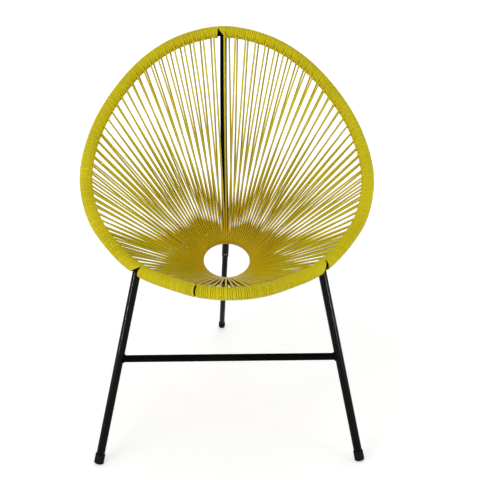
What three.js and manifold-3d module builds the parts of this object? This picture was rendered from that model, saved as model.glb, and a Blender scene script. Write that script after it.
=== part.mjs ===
// Acapulco chair. A bent steel hoop and a small seat ring are joined by one long vinyl cord,
// which winds round the hoop and runs to the ring and back about a hundred times.
// Two front legs with a cross bar, a bowed spine and a rear leg carry them.
// Millimetres, +Z up. The chair faces -Y. Right and left are as seen from the front: right is +X.

import * as THREE from 'three';
import { mergeVertices } from 'three/addons/utils/BufferGeometryUtils.js';
import Module from 'manifold-3d';

const wasm = await Module();
wasm.setup();

// Clearance between pieces that touch, how far a cutting shape runs past what it cuts,
// and how close two corners of a shape must lie to count as one
const gap = 0.3;
const overrun = 4;
const sameCorner = 1e-4;

// Hoop: centre line sizes, seen from the side a level nose and a straight sloping back
const hoopTube = 22;
const hoopWall = 1.5;
const hoopHalfWidth = 335;
const noseHeight = 474;
const noseReach = 121;
const backRun = 538;
const backRise = 393;
const noseBend = 120;

// Half of the hoop's outline laid flat: share of the way from nose to top, share of the half width
const outlineShares = [
  [0, 0], [0.019, 0.213], [0.076, 0.418], [0.154, 0.636], [0.239, 0.815], [0.33, 0.94],
  [0.468, 1], [0.623, 0.938], [0.762, 0.79], [0.889, 0.565], [0.966, 0.314], [1, 0],
];

// Cord and its loops: each loop leaves the hoop as a pair of runs, one over and one under the ring
const cord = 4.5;
const frontPitch = 18;
const topPitch = 28;
const pairSpread = 5;
const leaveAngle = THREE.MathUtils.degToRad(15);

// Places where the winding on the hoop parts: at the legs, at the spine and in front. Along the
// hoop, from the nose over the +X side and back: how far past the leg or the spine the two
// stretches meet, and how far the one before and the one after draw back on the other side
const rightPartShift = 15;
const rightPartBefore = 25.5;
const rightPartAfter = -4;
const leftPartShift = 14;
const leftPartBefore = 24.5;
const leftPartAfter = -3;
const legPartAngle = THREE.MathUtils.degToRad(125);
const notchShift = 14;
const notchBefore = 22.5;
const notchAfter = 4;
const notchAngle = THREE.MathUtils.degToRad(60);
const slitFromMiddle = 80;
const slitWidth = 4;

// Seat ring
const ringRod = 10;
const ringRadius = 65.5;
const ringBack = 204;
const ringHeight = 397;
const ringTilt = THREE.MathUtils.degToRad(23);

// Front legs, their spigots and the cross bar
const legTube = 20;
const legWall = 1.5;
const footSplay = 100;
const footForward = 78;
const spigotLength = 62;
const crossBar = 17;
const crossBarWall = 1.5;
const crossBarHeight = 262;

// Spine and rear leg, which slides into the spine's straight lower end
const spineWall = 1.2;
const spineLean = THREE.MathUtils.degToRad(5);
const spineHandleShare = 0.37;
const kneeRadius = 32;
const kneeDrop = THREE.MathUtils.degToRad(20);
const straightEnd = 70;
const socketDepth = 48;
const rearTube = 14;
const rearWall = 1.5;
const rearFootBack = 598;

// Rubber foot caps
const capWall = 1.4;
const capFloor = 4;
const frontCapLength = 24;
const rearCapLength = 18;
const capEdge = 1.2;
const footFlat = 0.8;

// Screws that hold the legs in place
const screwShank = 5;
const screwHead = 9;
const screwHeadHeight = 2.8;
const screwLength = 10;
const screwTipRoom = 1;
const screwDomeShares = [[0, 1], [0.6, 0.9], [1, 0.3], [1, 0]];
const legScrewDrop = 34;
const rearScrewRise = 24;

// Facet counts
const hoopSteps = 60;
const hoopSides = 8;
const hoopCoreSteps = 3;
const ringSteps = 48;
const ringSides = 6;
const tubeSides = 16;
const spineSides = 12;
const spineBowSteps = 12;
const kneeSteps = 8;
const screwSides = 16;
const bendSides = 4;
const laceNodes = 12;

const X = new THREE.Vector3(1, 0, 0);
const Z = new THREE.Vector3(0, 0, 1);
const hoopRadius = hoopTube / 2;
const wrapRadius = hoopRadius + cord;
const legRadius = legTube / 2;
const rearRadius = rearTube / 2;
const spineRadius = rearRadius + gap + spineWall;
const ringRodRadius = ringRod / 2;
const turn = 2 * Math.PI;

// Geometry with shared vertices and its faces pointing out
function tidy(geometry) {
  const bare = geometry.clone();
  bare.deleteAttribute('normal');
  bare.deleteAttribute('uv');
  const merged = mergeVertices(bare, sameCorner);
  const place = merged.getAttribute('position');
  const index = merged.getIndex().array;
  const [a, b, c] = [new THREE.Vector3(), new THREE.Vector3(), new THREE.Vector3()];
  const kept = [];
  let volume = 0;
  for (let i = 0; i < index.length; i += 3) {
    const [p, q, r] = [index[i], index[i + 1], index[i + 2]];
    if (p !== q && q !== r && r !== p) {
      kept.push(p, q, r);
      a.fromBufferAttribute(place, p);
      b.fromBufferAttribute(place, q);
      c.fromBufferAttribute(place, r);
      volume += a.dot(b.cross(c));
    }
  }
  merged.setIndex(volume < 0 ? kept.reverse() : kept);
  return merged;
}

function toSolid(geometry) {
  const shape = tidy(geometry);
  return new wasm.Manifold(new wasm.Mesh({
    numProp: 3,
    vertProperties: new Float32Array(shape.getAttribute('position').array),
    triVerts: new Uint32Array(shape.getIndex().array),
  }));
}

function toGeometry(solid) {
  const mesh = solid.getMesh();
  const geometry = new THREE.BufferGeometry();
  geometry.setAttribute('position', new THREE.BufferAttribute(mesh.vertProperties, 3));
  geometry.setIndex(new THREE.BufferAttribute(mesh.triVerts, 1));
  return geometry;
}

function cut(base, ...tools) {
  return toGeometry(tools.reduce((solid, tool) => solid.subtract(toSolid(tool)), toSolid(base)));
}

// Skin over a row of rings of points: closed in a loop, or with a flat end at each side
function loft(rings, closed) {
  const sides = rings[0].length;
  const index = [];
  const last = closed ? rings.length : rings.length - 1;
  for (let i = 0; i < last; i += 1) {
    const here = i * sides;
    const there = ((i + 1) % rings.length) * sides;
    for (let j = 0; j < sides; j += 1) {
      const k = (j + 1) % sides;
      index.push(here + j, there + j, there + k, here + j, there + k, here + k);
    }
  }
  if (!closed) {
    const end = (rings.length - 1) * sides;
    for (let j = 1; j < sides - 1; j += 1) {
      index.push(0, j, j + 1, end, end + j + 1, end + j);
    }
  }
  const geometry = new THREE.BufferGeometry().setFromPoints(rings.flat());
  geometry.setIndex(index);
  return tidy(geometry);
}

// Tube whose rings are given by a function of their radius
function lofted(ringsOf, radius, wall) {
  return loft([...ringsOf(radius), ...ringsOf(radius - wall).reverse()], true);
}

// Ring of points round a centre, from the first axis towards the second
function circle(centre, first, second, radius, sides) {
  return Array.from({ length: sides }, (_, i) => {
    const angle = (turn * i) / sides;
    return centre.clone()
      .addScaledVector(first, radius * Math.cos(angle))
      .addScaledVector(second, radius * Math.sin(angle));
  });
}

// Turned shape whose axis leaves a point along a direction
function turned(profile, sides, from, along) {
  const points = profile.map(([radius, height]) => new THREE.Vector2(radius, height));
  const geometry = new THREE.LatheGeometry(points, sides);
  const turnTo = new THREE.Quaternion().setFromUnitVectors(new THREE.Vector3(0, 1, 0), along);
  geometry.applyMatrix4(new THREE.Matrix4().compose(from, turnTo, new THREE.Vector3(1, 1, 1)));
  return tidy(geometry);
}

function rod(from, along, radius, length, sides = tubeSides) {
  return turned([[0, 0], [radius, 0], [radius, length], [0, length]], sides, from, along);
}

function pipe(from, along, radius, wall, length) {
  const bore = radius - wall;
  const profile = [[bore, 0], [radius, 0], [radius, length], [bore, length], [bore, 0]];
  return turned(profile, tubeSides, from, along);
}

// Hoop centre line. It is drawn flat, then folded along the side view's bend
const backSlope = Math.atan2(backRise, backRun);
const bendTangent = noseBend * Math.tan(backSlope / 2);
const bendStart = noseReach - bendTangent;
const bendEnd = bendStart + noseBend * backSlope;
const profileLength = bendEnd + Math.hypot(backRun, backRise) - bendTangent;

function fold(distance) {
  if (distance < bendStart) {
    return { y: distance - noseReach, z: noseHeight, slope: 0 };
  }
  if (distance < bendEnd) {
    const slope = (distance - bendStart) / noseBend;
    const y = noseBend * Math.sin(slope) - bendTangent;
    return { y, z: noseHeight + noseBend * (1 - Math.cos(slope)), slope };
  }
  const beyond = distance - bendEnd + bendTangent;
  return {
    y: beyond * Math.cos(backSlope),
    z: noseHeight + beyond * Math.sin(backSlope),
    slope: backSlope,
  };
}

function flatPoint([alongShare, widthShare], side) {
  return new THREE.Vector3(side * widthShare * hoopHalfWidth, alongShare * profileLength, 0);
}

const rightSide = outlineShares.map((shares) => flatPoint(shares, 1));
const leftSide = outlineShares.slice(1, -1).reverse().map((shares) => flatPoint(shares, -1));
const flatHoop = new THREE.CatmullRomCurve3([...rightSide, ...leftSide], true, 'centripetal');
flatHoop.arcLengthDivisions = 1200;
const hoopLength = flatHoop.getLength();

// Place on the hoop at a share of its length from the nose: centre, direction, outward and upward
function hoopPlace(share) {
  const where = ((share % 1) + 1) % 1;
  const flat = flatHoop.getPointAt(where);
  const heading = flatHoop.getTangentAt(where);
  const { y, z, slope } = fold(flat.y);
  const centre = new THREE.Vector3(flat.x, y, z);
  const rise = heading.y * Math.sin(slope);
  const along = new THREE.Vector3(heading.x, heading.y * Math.cos(slope), rise).normalize();
  const up = new THREE.Vector3(0, -Math.sin(slope), Math.cos(slope));
  const out = new THREE.Vector3().crossVectors(along, up);
  return { centre, along, out, up };
}

// Share of the hoop's length, on the +X side, at a distance along the side view
function shareAt(distance) {
  let [low, high] = [0, 0.5];
  for (let i = 0; i < 40; i += 1) {
    const middle = (low + high) / 2;
    if (flatHoop.getPointAt(middle).y < distance) {
      low = middle;
    } else {
      high = middle;
    }
  }
  return low;
}

const hoopPlaces = Array.from({ length: hoopSteps }, (_, i) => hoopPlace(i / hoopSteps));

// Round bar along the hoop between two of its places
function hoopStretch(first, last, radius) {
  const rings = [];
  for (let i = first; i <= last; i += 1) {
    const { centre, out, up } = hoopPlaces[(i + hoopSteps) % hoopSteps];
    rings.push(circle(centre, out, up, radius, hoopSides));
  }
  return loft(rings, false);
}

// Short round bar along the hoop, which saddles a tube that meets the hoop there
function hoopCore(share, radius) {
  const middle = Math.round(share * hoopSteps);
  return hoopStretch(middle - hoopCoreSteps, middle + hoopCoreSteps, radius);
}

const topShare = 0.5;
const legShare = shareAt((bendStart + bendEnd) / 2);
const hoopTop = hoopPlace(topShare);

// The hoop is one bent tube. Its ends meet at the middle of the nose
const seamShare = gap / 2 / hoopLength;
const tubePlaces = [hoopPlace(seamShare), ...hoopPlaces.slice(1), hoopPlace(1 - seamShare)];
const rimHoop = lofted((radius) => tubePlaces.map(({ centre, out, up }) => (
  circle(centre, out, up, radius, hoopSides))), hoopRadius, hoopWall);

// Seat ring, tilted up at the back. Angles start at the back and turn towards +X
const ringCentre = new THREE.Vector3(0, ringBack, ringHeight);
const ringRear = new THREE.Vector3(0, Math.cos(ringTilt), Math.sin(ringTilt));
const ringUp = new THREE.Vector3(0, -Math.sin(ringTilt), Math.cos(ringTilt));

function ringPlace(angle) {
  const out = new THREE.Vector3().addScaledVector(X, Math.sin(angle));
  out.addScaledVector(ringRear, Math.cos(angle));
  return { centre: ringCentre.clone().addScaledVector(out, ringRadius), out, up: ringUp };
}

const seatRing = loft(Array.from({ length: ringSteps }, (_, i) => {
  const { centre, out, up } = ringPlace((turn * i) / ringSteps);
  return circle(centre, out, up, ringRodRadius, ringSides);
}), true);

// Spine: one tube, a bow from the hoop's top to below the back of the ring, a tight knee that
// touches the ring's rod there, and a straight end that points at the rear foot
const rearFoot = new THREE.Vector3(0, rearFootBack, 0);
const kneeReach = kneeRadius + ringRodRadius + spineRadius + gap;
const kneeCentre = ringPlace(0).centre
  .addScaledVector(ringRear, kneeReach * Math.cos(kneeDrop))
  .addScaledVector(ringUp, -kneeReach * Math.sin(kneeDrop));
const toFoot = rearFoot.clone().sub(kneeCentre);
const footDistance = toFoot.length();
const footAngle = Math.atan2(toFoot.z, toFoot.y);
const kneeEndAngle = footAngle - Math.acos(kneeRadius / footDistance);
const kneeStartAngle = ringTilt - 1.5 * Math.PI;

function kneePoint(angle) {
  const out = new THREE.Vector3(0, Math.cos(angle), Math.sin(angle));
  return kneeCentre.clone().addScaledVector(out, kneeRadius);
}

const kneeStart = kneePoint(kneeStartAngle);
const kneeEnd = kneePoint(kneeEndAngle);
const rearAxis = rearFoot.clone().sub(kneeEnd).normalize();
const bowChord = kneeStart.distanceTo(hoopTop.centre);
const bowStart = new THREE.Vector3(0, Math.sin(spineLean), -Math.cos(spineLean));
const bowHandle = spineHandleShare * bowChord;
const bow = new THREE.CubicBezierCurve3(
  hoopTop.centre.clone(),
  hoopTop.centre.clone().addScaledVector(bowStart, bowHandle),
  kneeStart.clone().addScaledVector(ringRear, bowHandle),
  kneeStart.clone(),
);

function spineRing(centre, along, radius) {
  const side = new THREE.Vector3().crossVectors(X, along);
  return circle(centre, X, side, radius, spineSides);
}

const socketEnd = kneeEnd.clone().addScaledVector(rearAxis, straightEnd);

function spineRings(radius) {
  const rings = bow.getSpacedPoints(spineBowSteps).map((point, i) => (
    spineRing(point, bow.getTangentAt(i / spineBowSteps), radius)));
  for (let i = 1; i <= kneeSteps; i += 1) {
    const angle = kneeStartAngle + ((kneeEndAngle - kneeStartAngle) * i) / kneeSteps;
    const along = new THREE.Vector3(0, -Math.sin(angle), Math.cos(angle));
    rings.push(spineRing(kneePoint(angle), along, radius));
  }
  rings.push(spineRing(socketEnd, rearAxis, radius));
  return rings;
}

const spineBody = lofted(spineRings, spineRadius, spineWall);

// Screw with a domed head, driven from outside along a direction
function screw(seat, inward) {
  const shank = screwShank / 2;
  const dome = screwDomeShares.map(([width, height]) => (
    [(width * screwHead) / 2, -height * screwHeadHeight]));
  const profile = [...dome, [shank, 0], [shank, screwLength], [0, screwLength]];
  return turned(profile, screwSides, seat, inward);
}

// Hole for a screw, from outside the wall to just past the screw's tip
function screwHole(seat, inward) {
  const from = seat.clone().addScaledVector(inward, -overrun);
  const depth = overrun + screwLength + screwTipRoom;
  return rod(from, inward, screwShank / 2 + gap, depth, screwSides);
}

// Place of a screw on a tube: the head's flat stands a gap off the wall, facing backwards
function screwSeat(onAxis, axis, radius, facing) {
  const outward = facing.clone().addScaledVector(axis, -facing.dot(axis)).normalize();
  return {
    seat: onAxis.clone().addScaledVector(outward, radius + gap),
    inward: outward.clone().negate(),
  };
}

// Rubber cap on a tube end, with a small flat where it meets the floor
const groundSize = 4 * (hoopHalfWidth + footSplay + rearFootBack);
const ground = new THREE.BoxGeometry(groundSize, groundSize, groundSize);
ground.translate(0, 0, -groundSize / 2);

function capEnd(foot, axisUp, capRadius) {
  const lean = Math.hypot(axisUp.x, axisUp.y);
  const lowest = capRadius * lean - capEdge * Math.min(lean, axisUp.z);
  return foot.clone().addScaledVector(axisUp, (lowest - footFlat) / axisUp.z);
}

function footCap(end, axisUp, tubeRadius, length) {
  const bore = tubeRadius + gap;
  const radius = bore + capWall;
  const profile = [
    [0, 0], [radius - capEdge, 0], [radius, capEdge], [radius, length],
    [bore, length], [bore, capFloor], [0, capFloor],
  ];
  return cut(turned(profile, tubeSides, end, axisUp), ground);
}

// Front leg of one side: side is 1 at +X and -1 at -X
function frontLeg(side) {
  const share = side > 0 ? legShare : 1 - legShare;
  const top = hoopPlace(share).centre;
  const foot = new THREE.Vector3(top.x + side * footSplay, -footForward, 0);
  const axisUp = top.clone().sub(foot).normalize();
  const end = capEnd(foot, axisUp, legRadius + gap + capWall);
  const start = end.clone().addScaledVector(axisUp, capFloor + gap);
  const core = hoopCore(share, hoopRadius + gap);
  const tube = pipe(start, axisUp, legRadius, legWall, start.distanceTo(top));
  const drop = top.clone().addScaledVector(axisUp, -legScrewDrop);
  const { seat, inward } = screwSeat(drop, axisUp, legRadius, new THREE.Vector3(0, 1, 0));
  const hole = screwHole(seat, inward);
  const spigotStart = top.clone().addScaledVector(axisUp, -spigotLength);
  const spigot = rod(spigotStart, axisUp, legRadius - legWall - gap, spigotLength);
  return {
    share,
    foot,
    top,
    leg: cut(tube, core, hole),
    spigot: cut(spigot, core, hole),
    cap: footCap(end, axisUp, legRadius, frontCapLength),
    screw: screw(seat, inward),
    sleeve: rod(start, axisUp, legRadius + gap, start.distanceTo(top)),
  };
}

const rightLeg = frontLeg(1);
const leftLeg = frontLeg(-1);

function crossBarTube() {
  const [from, to] = [leftLeg, rightLeg].map(({ foot, top }) => (
    foot.clone().lerp(top, crossBarHeight / top.z)));
  const along = to.clone().sub(from).normalize();
  const tube = pipe(from, along, crossBar / 2, crossBarWall, from.distanceTo(to));
  return cut(tube, leftLeg.sleeve, rightLeg.sleeve);
}

// Rear leg: it slides into the spine's end and is held by one screw from below
const rearUp = rearAxis.clone().negate();
const rearEnd = capEnd(rearFoot, rearUp, rearRadius + gap + capWall);
const rearStart = rearEnd.clone().addScaledVector(rearUp, capFloor + gap);
const rearTop = socketEnd.clone().addScaledVector(rearUp, socketDepth);
const rearPipe = pipe(rearStart, rearUp, rearRadius, rearWall, rearStart.distanceTo(rearTop));
const rearScrewAt = socketEnd.clone().addScaledVector(rearUp, rearScrewRise);
const rearScrew = screwSeat(rearScrewAt, rearUp, spineRadius, new THREE.Vector3(0, 0, -1));
const rearHole = screwHole(rearScrew.seat, rearScrew.inward);
const backSpine = cut(spineBody, hoopCore(topShare, hoopRadius + gap), rearHole);

// Winding on the hoop. Each stretch ends at slanting planes, which meet the next stretch
// at one angle round the tube and stand off it at the opposite angle
function endBlock(share, side, meetAngle, opening, standOff) {
  const { centre, along, out, up } = hoopPlace(share);
  const onward = along.clone().multiplyScalar(side);
  const facing = onward.clone()
    .addScaledVector(out, (Math.cos(meetAngle) * opening) / (2 * wrapRadius))
    .addScaledVector(up, (Math.sin(meetAngle) * opening) / (2 * wrapRadius))
    .normalize();
  const size = 8 * wrapRadius;
  const block = new THREE.BoxGeometry(size, size, size);
  const turnTo = new THREE.Quaternion().setFromUnitVectors(Z, facing);
  const middle = centre.clone()
    .addScaledVector(onward, opening / 2 + standOff)
    .addScaledVector(facing, -size / 2);
  block.applyMatrix4(new THREE.Matrix4().compose(middle, turnTo, new THREE.Vector3(1, 1, 1)));
  return block;
}

// Winding on the hoop from one parting to the next, as one sleeve cut clear of what it meets
function winding(from, to, ...tools) {
  const first = Math.floor(from.share * hoopSteps - 1);
  const last = Math.ceil(to.share * hoopSteps + 1);
  const startBlock = endBlock(from.share, 1, from.meetAngle, from.opening, from.standOff);
  const stopBlock = endBlock(to.share, -1, to.meetAngle, to.opening, to.standOff);
  return cut(
    hoopStretch(first, last, wrapRadius),
    hoopStretch(first - 1, last + 1, hoopRadius + gap),
    startBlock,
    stopBlock,
    ...tools,
  );
}

function parting(share, shift, meetAngle, openings, standOff = gap / 2) {
  const place = { share: share + shift / hoopLength, meetAngle, standOff };
  const [before, after] = openings.map((opening) => ({ ...place, opening }));
  return { before, after };
}

const notch = parting(topShare, notchShift, notchAngle, [notchBefore, notchAfter]);
const rightPart = parting(
  rightLeg.share, rightPartShift, legPartAngle, [rightPartBefore, rightPartAfter]);
const leftPart = parting(
  leftLeg.share, leftPartShift, legPartAngle, [leftPartBefore, leftPartAfter]);
const slitRight = parting(0, -slitFromMiddle, notchAngle, [0, 0], slitWidth / 2);
const slitLeft = parting(1, -slitFromMiddle, notchAngle, [0, 0], slitWidth / 2);
const spineSleeve = loft(spineRings(spineRadius + gap), false);

// Loops of cord between hoop and ring
const halfLength = hoopLength / 2;
const pitchGrowth = (topPitch - frontPitch) / 3;
const meanPitch = frontPitch + pitchGrowth;
const loopsPerSide = Math.round(halfLength / meanPitch - 0.5);
const loopCount = 2 * loopsPerSide + 1;
const weldAngle = Math.asin((spineRadius + cord / 2 + 2 * gap) / ringRadius);
const weldCrowding = 4;
const loopAngle = turn / loopCount;

// The pitch grows with the square of the way from the nose to the top
function loopShare(index) {
  const way = (index + 0.5) / (loopsPerSide + 0.5);
  return (0.5 * (frontPitch * way + pitchGrowth * way ** 3)) / meanPitch;
}

// Share of the hoop for a loop, counted from the top over the +X side to the nose and back up
function rimShare(loop) {
  return loop < loopsPerSide + 0.5
    ? loopShare(loopsPerSide - loop)
    : 1 - loopShare(loop - loopsPerSide - 1);
}

// Angle on the ring at which a cord passes below the rod, from its angle above it: it keeps clear
// of the spine's weld at the back
function belowAngle(angle) {
  const side = angle < Math.PI ? 1 : -1;
  return angle + side * weldAngle * ((1 + Math.cos(angle)) / 2) ** weldCrowding;
}

// Section of the cord's turns round the inner side of the ring, at the edge before a loop:
// outer points from the upper run to the lower one, then inner points back again.
// A run is a square bar with the cord's area of section
const bendRadius = ringRodRadius + cord;
const cordHalfSide = (cord * Math.sqrt(Math.PI)) / 4;
const bendBore = (ringRodRadius + 2 * gap) / Math.cos(Math.PI / bendSides / 2);

function bendSection(edge) {
  const above = loopAngle * edge;
  const below = belowAngle(above);
  const rim = hoopPlace(rimShare(edge - 0.5));
  const angles = Array.from({ length: bendSides + 1 }, (_, i) => (Math.PI * i) / bendSides);
  const point = (angle, radius) => {
    const { centre, up } = ringPlace(above + ((below - above) * angle) / Math.PI);
    const outward = rim.centre.clone().sub(centre).normalize();
    const lift = up.clone().addScaledVector(outward, -up.dot(outward)).normalize();
    return centre
      .addScaledVector(lift, radius * Math.cos(angle))
      .addScaledVector(outward, -radius * Math.sin(angle));
  };
  return [
    ...angles.map((angle) => point(angle, bendRadius)),
    ...angles.reverse().map((angle) => point(angle, bendBore)),
  ];
}

// Far end of a run of cord, as four corners in the order of the four that it leaves the ring by.
// Level is 1 for the run over the ring and -1 for the one below it
function runEnd(loop, level, corners) {
  const start = corners.reduce((sum, corner) => sum.add(corner), new THREE.Vector3())
    .divideScalar(corners.length);
  const rim = hoopPlace(rimShare(loop) + (level * pairSpread) / 2 / hoopLength);
  const facing = rim.out.clone().multiplyScalar(-Math.cos(leaveAngle))
    .addScaledVector(rim.up, level * Math.sin(leaveAngle));
  const touch = rim.centre.clone().addScaledVector(facing, wrapRadius);
  const along = touch.clone().sub(start).normalize();
  const cosine = -along.dot(facing);
  const half = cordHalfSide;
  const back = (gap + Math.SQRT2 * half * Math.sqrt(1 - cosine * cosine)) / cosine;
  const end = touch.addScaledVector(along, -back);
  const sideways = corners[1].clone().sub(corners[0]);
  sideways.addScaledVector(along, -sideways.dot(along)).normalize();
  const across = corners[2].clone().sub(corners[1]);
  across.addScaledVector(along, -across.dot(along));
  across.addScaledVector(sideways, -across.dot(sideways)).normalize();
  return [[-1, -1], [1, -1], [1, 1], [-1, 1]].map(([side, rise]) => end.clone()
    .addScaledVector(sideways, side * half)
    .addScaledVector(across, rise * half));
}

// One sector of the lacing: its turns round the ring, each with its two runs to the hoop
function lacing(sector) {
  const first = Math.round((sector * loopCount) / laceNodes);
  const last = Math.round(((sector + 1) * loopCount) / laceNodes);
  const partEdge = gap / 2 / (ringRadius * loopAngle);
  const points = [];
  const face = (a, b, c, d) => points.push(a, b, c, a, c, d);
  const count = 2 * (bendSides + 1);
  let before = bendSection(first + partEdge);
  for (let j = 0; j < bendSides; j += 1) {
    face(before[j], before[j + 1], before[count - 2 - j], before[count - 1 - j]);
  }
  for (let loop = first; loop < last; loop += 1) {
    const after = bendSection(loop + 1 === last ? last - partEdge : loop + 1);
    for (let j = 0; j < count; j += 1) {
      const k = (j + 1) % count;
      const corners = [before[j], after[j], after[k], before[k]];
      if (j === bendSides || j === count - 1) {
        const ends = runEnd(loop, j === bendSides ? -1 : 1, corners);
        corners.forEach((corner, i) => {
          const next = (i + 1) % corners.length;
          face(corner, corners[next], ends[next], ends[i]);
        });
        face(...ends);
      } else {
        face(...corners);
      }
    }
    before = after;
  }
  for (let j = 0; j < bendSides; j += 1) {
    face(before[j], before[count - 1 - j], before[count - 2 - j], before[j + 1]);
  }
  return tidy(new THREE.BufferGeometry().setFromPoints(points));
}

// Materials
function material(color, roughness, metalness) {
  return new THREE.MeshStandardMaterial({ color, roughness, metalness });
}

const blackSteel = () => material(0x0b0b0c, 0.32, 0.2);
const yellowCord = () => material(0xd2c01a, 0.42, 0);
const blackRubber = () => material(0x101010, 0.75, 0);
const zincScrew = () => material(0x2b2b2d, 0.4, 0.9);

const chair = new THREE.Group();

function add(name, geometry, finish) {
  const mesh = new THREE.Mesh(geometry, finish);
  mesh.name = name;
  chair.add(mesh);
}

add('rim_hoop', rimHoop, blackSteel());
add('seat_ring', seatRing, blackSteel());
add('back_spine', backSpine, blackSteel());
add('rear_leg', cut(rearPipe, rearHole), blackSteel());
add('cross_bar', crossBarTube(), blackSteel());
for (const [side, parts] of [['right', rightLeg], ['left', leftLeg]]) {
  add(`front_leg_${side}`, parts.leg, blackSteel());
  add(`leg_spigot_${side}`, parts.spigot, blackSteel());
  add(`leg_screw_${side}`, parts.screw, zincScrew());
  add(`foot_cap_${side}`, parts.cap, blackRubber());
}
add('rear_screw', screw(rearScrew.seat, rearScrew.inward), zincScrew());
add('foot_cap_rear', footCap(rearEnd, rearUp, rearRadius, rearCapLength), blackRubber());

const windings = {
  right: winding(rightPart.after, notch.before, rightLeg.sleeve, spineSleeve),
  left: winding(notch.after, leftPart.before, leftLeg.sleeve, spineSleeve),
  front_right: winding(slitRight.after, rightPart.before, rightLeg.sleeve),
  front_left: winding(leftPart.after, slitLeft.before, leftLeg.sleeve),
};
for (const [place, geometry] of Object.entries(windings)) {
  add(`rim_winding_${place}`, geometry, yellowCord());
}

for (let sector = 0; sector < laceNodes; sector += 1) {
  const number = String(sector + 1).padStart(2, '0');
  add(`seat_lacing_${number}`, lacing(sector), yellowCord());
}

// The origin is on the floor, under the middle of the chair's box
const box = new THREE.Box3().setFromObject(chair);
chair.position.y = -(box.min.y + box.max.y) / 2;

export default chair;
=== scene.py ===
import math
import bpy
import numpy as np
from mathutils import Matrix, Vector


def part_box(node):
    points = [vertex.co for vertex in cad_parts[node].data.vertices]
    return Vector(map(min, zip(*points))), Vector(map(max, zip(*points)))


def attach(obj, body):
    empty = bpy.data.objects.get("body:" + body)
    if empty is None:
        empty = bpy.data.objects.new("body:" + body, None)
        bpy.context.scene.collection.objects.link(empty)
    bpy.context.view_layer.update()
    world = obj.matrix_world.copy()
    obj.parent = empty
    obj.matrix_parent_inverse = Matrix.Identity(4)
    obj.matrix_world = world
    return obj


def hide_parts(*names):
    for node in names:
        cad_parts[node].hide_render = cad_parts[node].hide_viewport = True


# Acapulco chair: vinyl cord winds round a bent steel hoop and runs to a small seat ring and back
# about a hundred times. Metres, +Z up, the chair faces -Y.

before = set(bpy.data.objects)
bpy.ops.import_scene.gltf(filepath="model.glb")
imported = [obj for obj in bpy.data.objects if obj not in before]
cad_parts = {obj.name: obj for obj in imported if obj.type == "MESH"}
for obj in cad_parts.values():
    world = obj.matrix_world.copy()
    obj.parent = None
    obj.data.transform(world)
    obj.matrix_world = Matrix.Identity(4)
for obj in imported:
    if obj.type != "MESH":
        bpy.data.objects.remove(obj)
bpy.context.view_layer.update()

BODY = "root"
TURN = 2 * math.pi

# Hoop: centre line sizes, as in the frame
HOOP_RADIUS = 0.011
HOOP_HALF_WIDTH = 0.335
NOSE_HEIGHT = 0.474
NOSE_REACH = 0.121
BACK_RUN = 0.538
BACK_RISE = 0.393
NOSE_BEND = 0.120
OUTLINE_SHARES = (
    (0, 0), (0.019, 0.213), (0.076, 0.418), (0.154, 0.636), (0.239, 0.815), (0.33, 0.94),
    (0.468, 1), (0.623, 0.938), (0.762, 0.79), (0.889, 0.565), (0.966, 0.314), (1, 0),
)

# Seat ring
RING_ROD_RADIUS = 0.005
RING_RADIUS = 0.0655
RING_BACK = 0.204
RING_TILT = math.radians(23)

# Cord and its loops. They lie closer in front than at the top, and a little round the hoop
CORD_RADIUS = 0.00225
FRONT_PITCH = 0.018
TOP_PITCH = 0.028
LOOPS_PER_SIDE = 51
LOOP_SHIFT = -0.002

# A loop's run below: how many loops it lags on the ring, the power of its crowding beside the
# spine's weld, its distance along the hoop from the run above, and the arc over which it leans
BELOW_LAG = 0.5
WELD_CROWDING = 4
PAIR_SPREAD = 0.0016
LEAN_ARC = 0.012

# Unevenness of the loops' places and bows, as standard deviations
WANDER_SEED = 11
PLACE_WANDER = 0.0005
BOW_WANDER = 0.0008

# Cord where it lifts off the hoop, the places of a run's points as shares of the way to the
# ring, the angle of the cord's ends, and a run's least distance from a parting, in radii
LIFT_ANGLE = math.radians(26)
LIFT_RUN = 0.013
RUN_SHARES = (0.12, 0.24, 0.4, 0.56, 0.7, 0.82, 0.9, 0.95, 0.985)
TAIL_ANGLE = math.radians(205)
END_MARGIN_SHARE = 1.5

# Cord's bend round the ring: from where it slants, and how oblique it may cross the rod
BEND_SLANT_FROM = math.radians(95)
LEAST_OBLIQUE = 0.7

# Cord's half width and height where it is pressed, as shares of its radius. Where runs crowd,
# the half width is a share of their pitch, and it is squeezed a little inside the ring
NARROWEST_SHARE = 0.6
WIDEST_SHARE = 1.25
TALLEST_SHARE = 1.16
CROWDED_SHARE = 0.53
INNER_SQUEEZE_SHARE = 0.1

# Cord's wear and painted shade, darker towards the ring: partly wear and dirt, partly painted shade
# where the runs crowd. Its level where a run leaves the hoop, and the shares of the way to the ring
# over which it grows to 1
WEAR_AND_SHADE_AT_HOOP = 0.25
WEAR_AND_SHADE_START_SHARE = 0.35
WEAR_AND_SHADE_REACH_SHARE = 0.55
WEAR_AND_SHADE_POWER = 1.5

# Partings of the winding: at the front legs, at the spine and at the slit in front. Each has
# the angle at which its turns meet, how far they draw back on both sides, and over what reach
LEG_PART_ANGLE = math.radians(125)
LEG_PART_REACH = 0.070
RIGHT_PART_SHIFT = 0.015
RIGHT_PART_BEFORE = 0.0255
RIGHT_PART_AFTER = -0.004
LEFT_PART_SHIFT = 0.014
LEFT_PART_BEFORE = 0.0245
LEFT_PART_AFTER = -0.003
NOTCH_ANGLE = math.radians(60)
NOTCH_REACH = 0.050
NOTCH_SHIFT = 0.014
NOTCH_BEFORE = 0.0225
NOTCH_AFTER = 0.004
SLIT_AT = -0.080
SLIT_STAND_OFF = 0.002

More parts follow.
